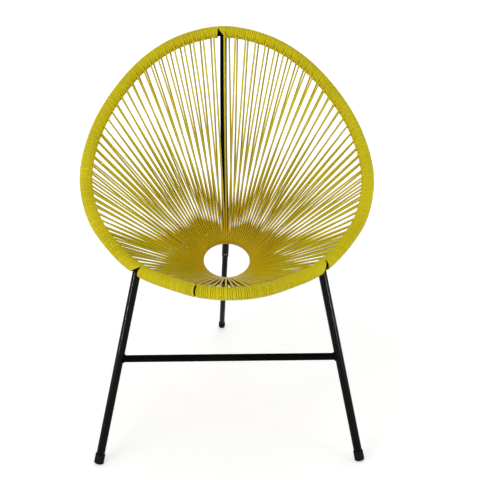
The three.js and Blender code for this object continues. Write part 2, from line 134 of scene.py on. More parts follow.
# Steel tubes
GAP = 0.0003
LEG_RADIUS = 0.010
LEG_WALL = 0.0015
LEG_EDGE = 0.0003
FOOT_SPLAY = 0.100
FOOT_FORWARD = 0.078
CROSS_BAR_RADIUS = 0.0085
CROSS_BAR_HEIGHT = 0.262
SPINE_RADIUS = 0.0085
SPINE_WALL = 0.0012
SPINE_LEAN = math.radians(5)
SPINE_HANDLE_SHARE = 0.37
KNEE_RADIUS = 0.032
KNEE_DROP = math.radians(20)
SOCKET_REACH = 0.070
SOCKET_DEPTH = 0.048
REAR_RADIUS = 0.007
REAR_WALL = 0.0015
REAR_FOOT_BACK = 0.598
TUBE_EDGE_SHARE = 0.25
TUBE_EDGE_STEPS = 4

# Welds: beads round the tubes, and two fillets between the spine's knee and the ring
BEAD_RIPPLES = 14
BEAD_RIPPLE_SHARE = 0.10
HOOP_BEAD_RADIUS = 0.0013
BAR_BEAD_RADIUS = 0.0019
BAR_BEAD_PROUD = 0.0006
FILLET_RADIUS = 0.0021
FILLET_HALF_LENGTH = 0.0065
FILLET_OFFSET = 0.0026
FILLET_DRAW_IN = 0.0006
FILLET_SWELL_SHARE = 1.1
FILLET_LEAST_SHARE = 0.02

# Foot caps and screws
CAP_WALL = 0.0014
CAP_FLOOR = 0.004
CAP_EDGE = 0.0012
FRONT_CAP_LENGTH = 0.024
REAR_CAP_LENGTH = 0.018
FOOT_FLAT = 0.0008
CAP_ROUNDING = 0.0004
GROOVE_START = 0.0035
GROOVE_MIDDLE = 0.003
GROOVE_END = 0.0024
GROOVE_DEPTH_SHARE = 0.25
CAP_EDGE_STEPS = 3
SCREW_HEAD_RADIUS = 0.0045
SCREW_HEAD_HEIGHT = 0.0028
SCREW_RIM_HEIGHT = 0.0007
SCREW_EDGE = 0.0002
SCREW_SHANK_RADIUS = 0.0025
SCREW_SHANK_LENGTH = 0.004
SCREW_SOCKET_RADIUS = 0.0017
SCREW_SOCKET_DEPTH = 0.0016
SOCKET_EDGE = 0.0001
SOCKET_MOUTH_SHARE = 1.12
DOME_START_SHARE = 0.5
DOME_POWER = 2.6
DOME_FULLNESS = 1.06
LEG_SCREW_DROP = 0.034
REAR_SCREW_RISE = 0.024

# Fineness of the meshes, and of the steps by which places are found
OUTLINE_STEPS = 400
HOOP_STEPS = 360
RING_STEPS = 120
BOW_STEPS = 60
KNEE_STEPS = 33
FILLET_STEPS = 9
DOME_STEPS = 8
LIFT_STEPS = 5
RING_BEND_STEPS = 14
WELD_STEPS = 64
TURN_STEPS = 20
TUBE_SIDES = 48
BENT_TUBE_SIDES = 28
ROD_SIDES = 20
SCREW_SIDES = 36
BEAD_SIDES = 10
CORD_SIDES = 8
SMOOTH_ANGLE = math.radians(42)
ROUNDINGS_PER_EDGE = 2.2
AXIS_RADIUS = 1e-6
LEAST_STEP = 2e-5
SLOPE_STEP = 0.0005
SLOPE_ANGLE = 0.01
HALVINGS = 40
TOUCH_ROUNDS = 6

# Camera, fitted to the photo in its pixels
FRAME_PIXELS = 480
CAMERA_PLACE = (-0.120, -3.7791, 2.258)
CAMERA_YAW = math.radians(1.9)
CAMERA_PITCH = math.radians(25.7)
CAMERA_ROLL = math.radians(0.3)
CAMERA_FOCAL_PIXELS = 1720
CAMERA_SHIFT_PIXELS = 11.4
CAMERA_SENSOR = 36
CAMERA_CLIP_END = 60

# Floor and sky. The floor glows more towards its edges, between two distances from its middle,
# and the sky has one level for rays that light the chair and one for rays that show it
FLOOR_HALF_SIZE = 14.0
FLOOR_GREY = 0.84
FLOOR_GLOW = (0.43, 0.83)
FLOOR_GLOW_REACH = (0.5, 2.2)
SKY_LEVELS = (0.5, 1.0)

# Nodes: the middle range of noise, and the sockets of a Mix node that hold colours
NOISE_RANGE = (0.3, 0.7)
MIX_FACTOR = 0
MIX_FIRST = 6
MIX_SECOND = 7
MIX_RESULT = 2

# The part is drawn with its hoop's bend at y = 0. The frame is moved so that it is centred
ring_low, ring_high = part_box("seat_ring")
SHIFT_Y = (ring_low.y + ring_high.y) / 2 - RING_BACK
RING_HEIGHT = (ring_low.z + ring_high.z) / 2


def vec(x, y, z):
    return np.array([x, y, z], float)


def unit(v):
    return v / np.linalg.norm(v, axis=-1, keepdims=True)


def dot(a, b):
    return (a * b).sum(-1)


def place_y(y):
    return y + SHIFT_Y


# Meshes

def add_object(name, data):
    obj = bpy.data.objects.new(name, data)
    bpy.context.collection.objects.link(obj)
    return obj


def add_mesh(name, verts, faces, material, slot, replaced, smooth_angle=SMOOTH_ANGLE):
    """A piece of the chair from its vertices and faces. Its edges are sharp where they bend by
    more than the angle, if there is one."""
    mesh = bpy.data.meshes.new(name)
    mesh.from_pydata(np.asarray(verts).tolist(), [], faces)
    mesh.validate()
    mesh.polygons.foreach_set("use_smooth", [True] * len(mesh.polygons))
    if smooth_angle:
        mesh.set_sharp_from_angle(angle=smooth_angle)
    mesh.materials.append(material)
    obj = add_object(name, mesh)
    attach(obj, BODY)
    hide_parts(*replaced)
    return obj


def signed_volume(verts, faces):
    """Six times the volume inside the faces, negative where they point inwards."""
    total = 0.0
    for size in sorted({len(face) for face in faces}):
        corners = verts[np.array([face for face in faces if len(face) == size])]
        for j in range(1, size - 1):
            total += dot(corners[:, 0], np.cross(corners[:, j], corners[:, j + 1])).sum()
    return total


def skin(rings, closed=False):
    """Vertices and faces over a row of rings of points, turned so that the faces point out.
    Open rows get a flat end at each side."""
    rings = np.asarray(rings)
    count, sides = rings.shape[:2]
    verts = rings.reshape(-1, 3)
    faces = []
    for i in range(count if closed else count - 1):
        here = i * sides
        there = ((i + 1) % count) * sides
        for j in range(sides):
            k = (j + 1) % sides
            faces.append((here + j, here + k, there + k, there + j))
    if not closed:
        last = (count - 1) * sides
        faces.append(tuple(range(sides - 1, -1, -1)))
        faces.append(tuple(range(last, last + sides)))
    if signed_volume(verts, faces) < 0:
        faces = [face[::-1] for face in faces]
    return verts, faces


def merge(*shapes):
    """Several closed shapes as the vertices and faces of one mesh."""
    verts, faces, start = [], [], 0
    for points, polygons in shapes:
        verts.append(points)
        faces += [tuple(start + i for i in face) for face in polygons]
        start += len(points)
    return np.vstack(verts), faces


def circle(centre, first, second, radius, sides):
    angles = np.arange(sides) * TURN / sides
    return (centre + radius * np.cos(angles)[:, None] * first
            + radius * np.sin(angles)[:, None] * second)


def lathe(profile, start, axis):
    """Shape turned round an axis that isn't along X, from a closed profile of radius and
    height."""
    first = unit(np.cross(axis, vec(1, 0, 0)))
    second = np.cross(axis, first)
    rings = [circle(start + height * axis, first, second, radius, TUBE_SIDES)
             for radius, height in profile]
    return skin(rings, closed=True)


def rounded(corners, radius, steps):
    """Closed profile with each of its corners rounded, over less than half of each edge."""
    out = []
    count = len(corners)
    for i in range(count):
        here = np.array(corners[i])
        before = np.array(corners[i - 1]) - here
        after = np.array(corners[(i + 1) % count]) - here
        shorter = min(np.linalg.norm(before), np.linalg.norm(after))
        size = min(radius, shorter / ROUNDINGS_PER_EDGE)
        start = here + unit(before) * size
        end = here + unit(after) * size
        for t in np.linspace(0, 1, steps + 1):
            out.append((1 - t) ** 2 * start + 2 * t * (1 - t) * here + t ** 2 * end)
    return out


def straight_tube(start, end, radius, wall):
    """Open-ended tube with its edges broken."""
    axis = end - start
    length = np.linalg.norm(axis)
    bore = radius - wall
    corners = [(bore, 0), (radius, 0), (radius, length), (bore, length)]
    profile = rounded(corners, wall * TUBE_EDGE_SHARE, TUBE_EDGE_STEPS)
    return lathe(profile, start, axis / length)


def ellipses(points, first, second, half_first, half_second, sides):
    """A ring round each point: an ellipse with its half axes along the two directions."""
    angles = np.arange(sides) * TURN / sides
    return (points[:, None]
            + half_first[:, None, None] * np.cos(angles)[None, :, None] * first[:, None]
            + half_second[:, None, None] * np.sin(angles)[None, :, None] * second[:, None])


def sweep(points, normals, half_normal, half_side, sides):
    """Rings of a bar along a path. Its section is an ellipse with one axis along the normals."""
    tangents = unit(np.gradient(points, axis=0))
    side = unit(np.cross(tangents, normals))
    upright = np.cross(side, tangents)
    return ellipses(points, upright, side, half_normal, half_side, sides)


def bead(points, radius):
    """Weld bead along a closed row of points."""
    count = len(points)
    tangents = unit(np.roll(points, -1, 0) - np.roll(points, 1, 0))
    middle = points.mean(0)
    outward = unit(points - middle)
    side = unit(np.cross(tangents, outward))
    outward = np.cross(side, tangents)
    ripple = 1 + BEAD_RIPPLE_SHARE * np.cos(np.arange(count) * TURN * BEAD_RIPPLES / count)
    size = radius * ripple
    return skin(ellipses(points, outward, side, size, size, BEAD_SIDES), closed=True)


def saddle(origin, axis, radius, other_origin, other_axis, other_radius, steps=WELD_STEPS):
    """Line where a tube's skin meets another tube, going along the first from its origin."""
    first = unit(np.cross(axis, other_axis))
    second = np.cross(axis, first)
    rows = circle(origin, first, second, radius, steps)
    flat_axis = axis - dot(axis, other_axis) * other_axis
    flat_rows = rows - other_origin
    flat_rows = flat_rows - dot(flat_rows, other_axis)[:, None] * other_axis
    a = dot(flat_axis, flat_axis)
    b = dot(flat_rows, flat_axis)
    c = dot(flat_rows, flat_rows) - other_radius ** 2
    reach = (-b - np.sqrt(np.maximum(b * b - a * c, 0))) / a
    return rows + reach[:, None] * axis


# Hoop centre line. It is drawn flat, then folded along the side view's bend

BACK_SLOPE = math.atan2(BACK_RISE, BACK_RUN)
BEND_TANGENT = NOSE_BEND * math.tan(BACK_SLOPE / 2)
BEND_START = NOSE_REACH - BEND_TANGENT
BEND_END = BEND_START + NOSE_BEND * BACK_SLOPE
PROFILE_LENGTH = BEND_END + math.hypot(BACK_RUN, BACK_RISE) - BEND_TANGENT


def flat_outline():
    """Closed centripetal Catmull-Rom curve through the outline's points."""
    right = [(w * HOOP_HALF_WIDTH, a * PROFILE_LENGTH) for a, w in OUTLINE_SHARES]
    left = [(-x, y) for x, y in right[-2:0:-1]]
    points = np.array(right + left)
    t = np.linspace(0, 1, OUTLINE_STEPS, endpoint=False)[:, None]
    pieces = []
    for i in range(len(points)):
        p0, p1, p2, p3 = (points[(i + j - 1) % len(points)] for j in range(4))
        d0, d1, d2 = (math.sqrt(math.dist(a, b)) for a, b in ((p0, p1), (p1, p2), (p2, p3)))
        m1 = ((p1 - p0) / d0 - (p2 - p0) / (d0 + d1) + (p2 - p1) / d1) * d1
        m2 = ((p2 - p1) / d1 - (p3 - p1) / (d1 + d2) + (p3 - p2) / d2) * d1
        pieces.append(p1 + m1 * t + (3 * (p2 - p1) - 2 * m1 - m2) * t ** 2
                      + (2 * (p1 - p2) + m1 + m2) * t ** 3)
    return np.vstack(pieces + [pieces[0][:1]])


OUTLINE = flat_outline()
OUTLINE_AT = np.concatenate([[0], np.cumsum(np.hypot(*np.diff(OUTLINE, axis=0).T))])
HOOP_LENGTH = OUTLINE_AT[-1]


def hoop_place(at):
    """Places on the hoop at distances from the nose: centre, direction, outward and upward."""
    at = np.asarray(at, float)

    def flat(distance):
        where = distance % HOOP_LENGTH
        return (np.interp(where, OUTLINE_AT, OUTLINE[:, 0]),
                np.interp(where, OUTLINE_AT, OUTLINE[:, 1]))

    x, y = flat(at)
    ahead, behind = flat(at + SLOPE_STEP), flat(at - SLOPE_STEP)
    heading = unit(np.stack([ahead[0] - behind[0], ahead[1] - behind[1]], -1))
    slope = np.clip((y - BEND_START) / NOSE_BEND, 0, BACK_SLOPE)
    beyond = y - BEND_END + BEND_TANGENT
    level = y < BEND_START
    bending = y < BEND_END
    depth = np.where(level, y - NOSE_REACH, np.where(
        bending, NOSE_BEND * np.sin(slope) - BEND_TANGENT, beyond * math.cos(BACK_SLOPE)))
    height = NOSE_HEIGHT + np.where(level, 0, np.where(
        bending, NOSE_BEND * (1 - np.cos(slope)), beyond * math.sin(BACK_SLOPE)))
    centre = np.stack([x, place_y(depth), height], -1)
    along = unit(np.stack([heading[..., 0], heading[..., 1] * np.cos(slope),
                           heading[..., 1] * np.sin(slope)], -1))
    up = np.stack([0 * slope, -np.sin(slope), np.cos(slope)], -1)
    return centre, along, np.cross(along, up), up


def distance_at(profile_distance):
    """Distance along the hoop, on the +X side, of a distance along the side view."""
    half = OUTLINE_AT <= HOOP_LENGTH / 2
    return float(np.interp(profile_distance, OUTLINE[half, 1], OUTLINE_AT[half]))


LEG_AT = distance_at((BEND_START + BEND_END) / 2)
TOP_AT = HOOP_LENGTH / 2

# Seat ring. Angles start at the back and turn towards +X

RING_CENTRE = vec(0, place_y(RING_BACK), RING_HEIGHT)
RING_REAR = vec(0, math.cos(RING_TILT), math.sin(RING_TILT))
RING_UP = vec(0, -math.sin(RING_TILT), math.cos(RING_TILT))


def ring_place(angle):
    out = math.sin(angle) * vec(1, 0, 0) + math.cos(angle) * RING_REAR
    return RING_CENTRE + RING_RADIUS * out, out


# Loops, counted from the top over the +X side to the nose and back up

LOOP_COUNT = 2 * LOOPS_PER_SIDE + 1
WELD_ANGLE = math.asin((SPINE_RADIUS + CORD_RADIUS + 2 * GAP) / RING_RADIUS)
LOOP_ANGLE = TURN / LOOP_COUNT


def below_angle(angle, way):
    """Angle on the ring at which a cord passes below it: on from its run above, the way it is
    wound, most at the nose, and clear of the spine's weld."""
    side = 1 if angle < math.pi else -1
    crowding = side * WELD_ANGLE * ((1 + math.cos(angle)) / 2) ** WELD_CROWDING
    return angle + crowding - way * BELOW_LAG * LOOP_ANGLE * (1 - math.cos(angle)) / 2


def loop_distance(index):
    """Distance from the nose to a loop: the pitch grows with the square of the way up."""
    way = (index + 0.5) / (LOOPS_PER_SIDE + 0.5)
    growth = (TOP_PITCH - FRONT_PITCH) / 3
    return TOP_AT * (FRONT_PITCH * way + growth * way ** 3) / (FRONT_PITCH + growth)


def loop_at(loop):
    if loop < LOOPS_PER_SIDE + 0.5:
        return LOOP_SHIFT + loop_distance(LOOPS_PER_SIDE - loop)
    return LOOP_SHIFT + HOOP_LENGTH - loop_distance(loop - LOOPS_PER_SIDE - 1)


# Materials

def srgb(red, green, blue):
    def linear(value):
        value /= 255
        return value / 12.92 if value <= 0.04045 else ((value + 0.055) / 1.055) ** 2.4
    return (linear(red), linear(green), linear(blue), 1)


def fill(tree, node, inputs):
    """Sets a node's inputs to numbers or colours, or links other nodes' outputs to them."""
    for key, value in inputs.items():
        if isinstance(value, bpy.types.NodeSocket):
            tree.links.new(value, node.inputs[key])
        else:
            node.inputs[key].default_value = value


def add_node(tree, kind, inputs):
    node = tree.nodes.new(kind)
    fill(tree, node, inputs)
    return node


def spread(tree, source, low, high, source_range=(0, 1)):
    """A value spread from its own range over the range from low to high."""
    start, end = source_range
    node = add_node(tree, "ShaderNodeMapRange", {
        "Value": source, "From Min": start, "From Max": end, "To Min": low, "To Max": high})
    return node.outputs["Result"]


class Paint:
    """Small helper that builds a node material on one Principled shader."""

    def __init__(self, name):
        self.material = bpy.data.materials.new(name)
        self.material.use_nodes = True
        self.tree = self.material.node_tree
        self.place = self.tree.nodes.new("ShaderNodeTexCoord").outputs["Object"]

    def coat(self, inputs):
        """The finished material, with its shader's inputs filled."""
        fill(self.tree, self.tree.nodes["Principled BSDF"], inputs)
        return self.material

    def noise(self, scale, detail, rough=0.5, stretch=(1, 1, 1), distortion=0.0):
        mapping = add_node(self.tree, "ShaderNodeMapping", {
            "Vector": self.place, "Scale": stretch})
        node = add_node(self.tree, "ShaderNodeTexNoise", {
            "Vector": mapping.outputs["Vector"], "Scale": scale, "Detail": detail,
            "Roughness": rough, "Distortion": distortion})
        return node.outputs["Fac"]

    def cells(self, scale):
        node = add_node(self.tree, "ShaderNodeTexVoronoi", {
            "Vector": self.place, "Scale": scale})
        return node.outputs["Distance"]

    def attribute(self, name):
        node = self.tree.nodes.new("ShaderNodeAttribute")
        node.attribute_name = name
        return node.outputs["Fac"]

    def ramp(self, source, low, high):
        """Colour between two stops, each a value of the source and a colour."""
        node = add_node(self.tree, "ShaderNodeValToRGB", {"Fac": source})
        for element, (position, colour) in zip(node.color_ramp.elements, (low, high)):
            element.position = position
            element.color = colour
        return node.outputs["Color"]

    def span(self, noise, low, high):
        return spread(self.tree, noise, low, high, NOISE_RANGE)

    def blend(self, factor, first, second, mode="MIX"):
        node = self.tree.nodes.new("ShaderNodeMix")
        node.data_type = "RGBA"
        node.blend_type = mode
        fill(self.tree, node, {MIX_FACTOR: factor, MIX_FIRST: first, MIX_SECOND: second})
        return node.outputs[MIX_RESULT]

    def bump(self, height, distance, strength, before=None):
        """Normals tilted by a height, on top of another bump where there is one."""
        node = add_node(self.tree, "ShaderNodeBump", {
            "Height": height, "Distance": distance, "Strength": strength})
        if before is not None:
            fill(self.tree, node, {"Normal": before})
        return node.outputs["Normal"]


def powder_coat(name, dull, gloss):
    """Black powder coat: fine orange peel, a few dull patches, faint dust. dull is the range of
    its roughness and gloss its specular level."""
    paint = Paint(name)
    patches = paint.noise(scale=14, detail=4)
    dust = paint.noise(scale=420, detail=2)
    black = paint.ramp(patches, (0.3, srgb(5, 5, 6)), (0.7, srgb(10, 10, 11)))
    specks = paint.ramp(dust, (0.66, (0, 0, 0, 1)), (0.8, (0.004, 0.004, 0.0044, 1)))
    peel = paint.noise(scale=520, detail=2, rough=0.4)
    peeled = paint.bump(peel, distance=0.00012, strength=0.12)
    cells = paint.cells(scale=1500)
    return paint.coat({
        "Base Color": paint.blend(1.0, black, specks, "ADD"),
        "Roughness": paint.span(patches, *dull),
        "Specular IOR Level": gloss,
        "Normal": paint.bump(cells, distance=0.00003, strength=0.1, before=peeled),
    })


def vinyl_cord():
    """Waxy yellow PVC: slight colour drift, soft gloss, and mustard towards the ring, partly where
    it is worn and dirty and partly as painted shade between the crowded runs.
    """
    paint = Paint("vinyl_cord")
    drift = paint.noise(scale=9, detail=3)
    mottle = paint.noise(scale=260, detail=3, rough=0.55)
    grain = paint.noise(scale=700, detail=2)
    bright = paint.ramp(drift, (0.3, srgb(201, 187, 6)), (0.7, srgb(212, 199, 10)))
    # Darker mustard towards the ring: partly wear and dirt, partly painted shade between the
    # crowded runs
    worn_and_shaded = paint.ramp(drift, (0.3, srgb(193, 165, 7)), (0.7, srgb(205, 177, 11)))
    base = paint.blend(paint.attribute("wear_and_shade"), bright, worn_and_shaded)
    tint = paint.ramp(mottle, (0.35, (0.94, 0.93, 0.88, 1)), (0.65, (1, 1, 1, 1)))
    return paint.coat({
        "Base Color": paint.blend(1.0, base, tint, "MULTIPLY"),
        "Roughness": paint.span(mottle, 0.34, 0.46),
        "Specular IOR Level": 0.18,
        "Normal": paint.bump(grain, distance=0.00008, strength=0.5),
    })


def rubber():
    """Moulded black rubber: dull, with fine grain and grey scuffs."""
    paint = Paint("cap_rubber")
    scuffs = paint.noise(scale=180, detail=5, rough=0.6, stretch=(1, 1, 2.5), distortion=0.6)
    grain = paint.noise(scale=2400, detail=3)
    return paint.coat({
        "Base Color": paint.ramp(scuffs, (0.5, srgb(12, 12, 13)), (0.75, srgb(34, 33, 32))),
        "Roughness": paint.span(scuffs, 0.68, 0.85),
        "Specular IOR Level": 0.1,
        "Normal": paint.bump(grain, distance=0.0001, strength=0.6),
    })


def screw_steel():
    """Blackened steel: turning marks and lighter worn spots."""
    paint = Paint("screw_steel")
    spots = paint.noise(scale=900, detail=4)
    marks = paint.noise(scale=3000, detail=2)
    return paint.coat({
        "Base Color": paint.ramp(spots, (0.4, srgb(58, 58, 60)), (0.7, srgb(104, 104, 106))),
        "Roughness": paint.span(spots, 0.3, 0.48),
        "Metallic": 1.0,
        "Normal": paint.bump(marks, distance=0.00004, strength=0.5),
    })


POWDER = powder_coat("powder_coat", dull=(0.2, 0.32), gloss=0.015)
FRONT_POWDER = powder_coat("front_powder_coat", dull=(0.09, 0.13), gloss=0.07)
VINYL = vinyl_cord()
RUBBER = rubber()
SCREW = screw_steel()


# Steel pieces

def hoop_tube():
    seam = GAP / 2
    centre, _, out, up = hoop_place(np.linspace(seam, HOOP_LENGTH - seam, HOOP_STEPS))
    rings = [circle(c, o, u, HOOP_RADIUS, BENT_TUBE_SIDES) for c, o, u in zip(centre, out, up)]
    add_mesh("hoop_tube", *skin(rings), POWDER, "black_steel", ["rim_hoop"])


def ring_rod():
    rings = []
    for angle in np.linspace(0, TURN, RING_STEPS, endpoint=False):
        centre, out = ring_place(angle)
        rings.append(circle(centre, out, RING_UP, RING_ROD_RADIUS, ROD_SIDES))
    add_mesh("ring_rod", *skin(rings, closed=True), POWDER, "black_steel", ["seat_ring"])


HOOP_TOP = hoop_place(TOP_AT)
REAR_FOOT = vec(0, place_y(REAR_FOOT_BACK), 0)
RING_BACK_CENTRE = ring_place(0)[0]
KNEE_REACH = KNEE_RADIUS + RING_ROD_RADIUS + SPINE_RADIUS + GAP
TO_KNEE = math.cos(KNEE_DROP) * RING_REAR - math.sin(KNEE_DROP) * RING_UP
KNEE_CENTRE = RING_BACK_CENTRE + KNEE_REACH * TO_KNEE
TO_FOOT = REAR_FOOT - KNEE_CENTRE
FOOT_ANGLE = math.atan2(TO_FOOT[2], TO_FOOT[1])
KNEE_END_ANGLE = FOOT_ANGLE - math.acos(KNEE_RADIUS / np.linalg.norm(TO_FOOT))
KNEE_START_ANGLE = RING_TILT - 0.75 * TURN


def knee_point(angle):
    return KNEE_CENTRE + KNEE_RADIUS * vec(0, math.cos(angle), math.sin(angle))


KNEE_END = knee_point(KNEE_END_ANGLE)
REAR_AXIS = unit(REAR_FOOT - KNEE_END)
SOCKET_END = KNEE_END + SOCKET_REACH * REAR_AXIS


def spine_line():
    """Centre line of the spine: a bow to the ring, a tight knee, a straight socket."""
    start = HOOP_TOP[0]
    knee_start = knee_point(KNEE_START_ANGLE)
    handle = SPINE_HANDLE_SHARE * np.linalg.norm(knee_start - start)
    lean = vec(0, math.sin(SPINE_LEAN), -math.cos(SPINE_LEAN))
    p = [start, start + handle * lean, knee_start + handle * RING_REAR, knee_start]
    t = np.linspace(0, 1, BOW_STEPS)[:, None]
    bow = ((1 - t) ** 3 * p[0] + 3 * t * (1 - t) ** 2 * p[1]
           + 3 * t ** 2 * (1 - t) * p[2] + t ** 3 * p[3])
    angles = np.linspace(KNEE_START_ANGLE, KNEE_END_ANGLE, KNEE_STEPS)[1:]
    knee = np.array([knee_point(a) for a in angles])
    socket = [SOCKET_END - REAR_AXIS * GAP, SOCKET_END]
    return np.vstack([bow, knee, socket])


def back_spine():
    line = spine_line()
    tangents = unit(np.gradient(line, axis=0))
    tangents[-2:] = REAR_AXIS
    x = vec(1, 0, 0)
    bow_start = np.argmax(np.linalg.norm(line - line[0], axis=1) > HOOP_RADIUS / 2)
    outside, inside = ([circle(c, x, np.cross(x, t), radius, BENT_TUBE_SIDES)
                        for c, t in zip(line[bow_start:], tangents[bow_start:])]
                       for radius in (SPINE_RADIUS, SPINE_RADIUS - SPINE_WALL))
    tube = skin(outside + inside[::-1], closed=True)
    top_axis = unit(line[1] - line[0])
    below_hoop = line[0] + top_axis * HOOP_RADIUS * 3
    hoop_weld = saddle(below_hoop, -top_axis, SPINE_RADIUS, HOOP_TOP[0], HOOP_TOP[1], HOOP_RADIUS)
    ring_touch = RING_BACK_CENTRE + TO_KNEE * RING_ROD_RADIUS
    knee_along = np.cross(x, TO_KNEE)
    across = np.linspace(-1, 1, FILLET_STEPS)
    fillets = []
    for level in (1, -1):
        points = np.array([ring_touch + x * FILLET_HALF_LENGTH * a
                           + knee_along * level * (FILLET_OFFSET - FILLET_DRAW_IN * a * a)
                           for a in across])
        swell = np.clip(FILLET_SWELL_SHARE - across ** 2, FILLET_LEAST_SHARE, 1)
        radii = FILLET_RADIUS * np.sqrt(swell)
        normals = np.repeat(knee_along[None], len(points), 0)
        fillets.append(skin(sweep(points, normals, radii, radii, BEAD_SIDES)))
    shape = merge(tube, bead(hoop_weld, HOOP_BEAD_RADIUS), *fillets)
    add_mesh("spine_tube", *shape, POWDER, "black_steel", ["back_spine"])


def cap_end(foot, axis_up, radius):
    """End of a foot cap on its axis, so that its lowest edge is cut flat by the floor."""
    lean = math.hypot(axis_up[0], axis_up[1])
    lowest = radius * lean - CAP_EDGE * min(lean, axis_up[2])
    return foot + axis_up * (lowest - FOOT_FLAT) / axis_up[2]


def foot_cap(name, end, axis_up, tube_radius, length):
    """Rubber cap: rounded sole, a groove below its mouth and a flat where it stands."""
    bore = tube_radius + GAP
    radius = bore + CAP_WALL
    groove = radius - CAP_WALL * GROOVE_DEPTH_SHARE
    corners = [(AXIS_RADIUS, 0), (radius - CAP_EDGE, 0), (radius, CAP_EDGE),
               (radius, length - GROOVE_START), (groove, length - GROOVE_MIDDLE),
               (radius, length - GROOVE_END), (radius, length),
               (bore, length), (bore, CAP_FLOOR), (AXIS_RADIUS, CAP_FLOOR)]
    verts, faces = lathe(rounded(corners, CAP_ROUNDING, CAP_EDGE_STEPS), end, axis_up)
    verts[:, 2] = np.maximum(verts[:, 2], 0)
    add_mesh(name, verts, faces, RUBBER, "black_rubber", [name.replace("cap", "foot_cap", 1)])


def screw_head(on_axis, axis, tube_radius, facing):
    """Domed head with a hexagonal socket, seated on a tube, and a short length of shank."""
    outward = unit(facing - dot(facing, axis) * axis)
    seat = on_axis + outward * (tube_radius + GAP)
    first = unit(np.cross(outward, axis))
    second = np.cross(outward, first)
    angles = np.arange(SCREW_SIDES) * TURN / SCREW_SIDES
    sector = TURN / 6
    hexagon = np.cos(sector / 2) / np.cos((angles % sector) - sector / 2)

    def row(radius, height, shape=1.0):
        r = (radius * shape * np.ones(SCREW_SIDES))[:, None]
        return (seat + r * np.cos(angles)[:, None] * first
                + r * np.sin(angles)[:, None] * second + height * outward)

    top, rim, hole = SCREW_HEAD_HEIGHT, SCREW_HEAD_RADIUS, SCREW_SOCKET_RADIUS
    rows = [row(hole, top - SCREW_SOCKET_DEPTH, hexagon), row(hole, top - SOCKET_EDGE, hexagon),
            row(hole * SOCKET_MOUTH_SHARE, top, (1 + hexagon) / 2)]
    for part in np.linspace(DOME_START_SHARE, 1, DOME_STEPS):
        rise = min(math.sqrt(max(1 - part ** DOME_POWER, 0)) * DOME_FULLNESS, 1)
        rows.append(row(rim * part, SCREW_RIM_HEIGHT + (top - SCREW_RIM_HEIGHT) * rise))
    rows += [row(rim, SCREW_EDGE), row(rim - SCREW_EDGE, 0), row(SCREW_SHANK_RADIUS, 0),
             row(SCREW_SHANK_RADIUS, -SCREW_SHANK_LENGTH)]
    return skin(rows)


def front_leg(side, word):
    at = LEG_AT if side > 0 else HOOP_LENGTH - LEG_AT
    top, along, _, _ = hoop_place(at)
    foot = vec(top[0] + side * FOOT_SPLAY, place_y(-FOOT_FORWARD), 0)
    axis_up = unit(top - foot)
    end = cap_end(foot, axis_up, LEG_RADIUS + GAP + CAP_WALL)
    start = end + axis_up * (CAP_FLOOR + GAP)
    reach, bore = (saddle(start, axis_up, radius, top, along, HOOP_RADIUS + GAP, TUBE_SIDES)
                   for radius in (LEG_RADIUS, LEG_RADIUS - LEG_WALL))
    edge = axis_up * LEG_EDGE
    first = reach - dot(reach - start, axis_up)[:, None] * axis_up
    inner = bore - dot(bore - start, axis_up)[:, None] * axis_up
    tube = skin([first, reach - edge, bore - edge, inner], closed=True)
    add_mesh(f"leg_tube_{word}", *tube, FRONT_POWDER, "black_steel", [f"front_leg_{word}"])
    foot_cap(f"cap_{word}", end, axis_up, LEG_RADIUS, FRONT_CAP_LENGTH)
    drop = top - axis_up * LEG_SCREW_DROP
    head = screw_head(drop, axis_up, LEG_RADIUS, vec(0, 1, 0))
    add_mesh(f"screw_{word}", *head, SCREW, "black_screw", [f"leg_screw_{word}"])
    return foot, top, axis_up


def cross_bar(left, right):
    ends = [foot + (top - foot) * CROSS_BAR_HEIGHT / top[2] for foot, top, _ in (left, right)]
    along = unit(ends[1] - ends[0])
    shapes = []
    middle = (ends[0] + ends[1]) / 2
    rims = []
    for (foot, _, axis_up), outward in ((left, -along), (right, along)):
        rims.append(saddle(middle, outward, CROSS_BAR_RADIUS, foot, axis_up, LEG_RADIUS + GAP))
        weld = saddle(middle, outward, CROSS_BAR_RADIUS + BAR_BEAD_PROUD, foot, axis_up,
                      LEG_RADIUS + BAR_BEAD_PROUD)
        shapes.append(bead(weld, BAR_BEAD_RADIUS))
    order = []
    for point in rims[0]:
        offset = rims[1] - point
        aside = offset - along * dot(offset, along)[:, None]
        order.append(np.argmin(np.linalg.norm(aside, axis=1)))
    shapes.append(skin([rims[0], rims[1][order]]))
    add_mesh("cross_tube", *merge(*shapes), POWDER, "black_steel", ["cross_bar"])


def rear_leg():
    axis_up = -REAR_AXIS
    end = cap_end(REAR_FOOT, axis_up, REAR_RADIUS + GAP + CAP_WALL)
    start = end + axis_up * (CAP_FLOOR + GAP)
    tube = straight_tube(start, SOCKET_END + axis_up * SOCKET_DEPTH, REAR_RADIUS, REAR_WALL)
    add_mesh("rear_tube", *tube, POWDER, "black_steel", ["rear_leg"])
    foot_cap("cap_rear", end, axis_up, REAR_RADIUS, REAR_CAP_LENGTH)
    at = SOCKET_END + axis_up * REAR_SCREW_RISE
    head = screw_head(at, axis_up, SPINE_RADIUS, vec(0, 0, -1))
    add_mesh("screw_rear", *head, SCREW, "black_screw", ["rear_screw"])


# Cord. It goes round the hoop as a tight coil, leaves it over the ring, turns round the ring's
# rod, comes back below and coils on. Angles round the hoop start outward and turn upward

WRAP_RADIUS = HOOP_RADIUS + CORD_RADIUS
BEND_RADIUS = RING_ROD_RADIUS + CORD_RADIUS
rng = np.random.default_rng(WANDER_SEED)


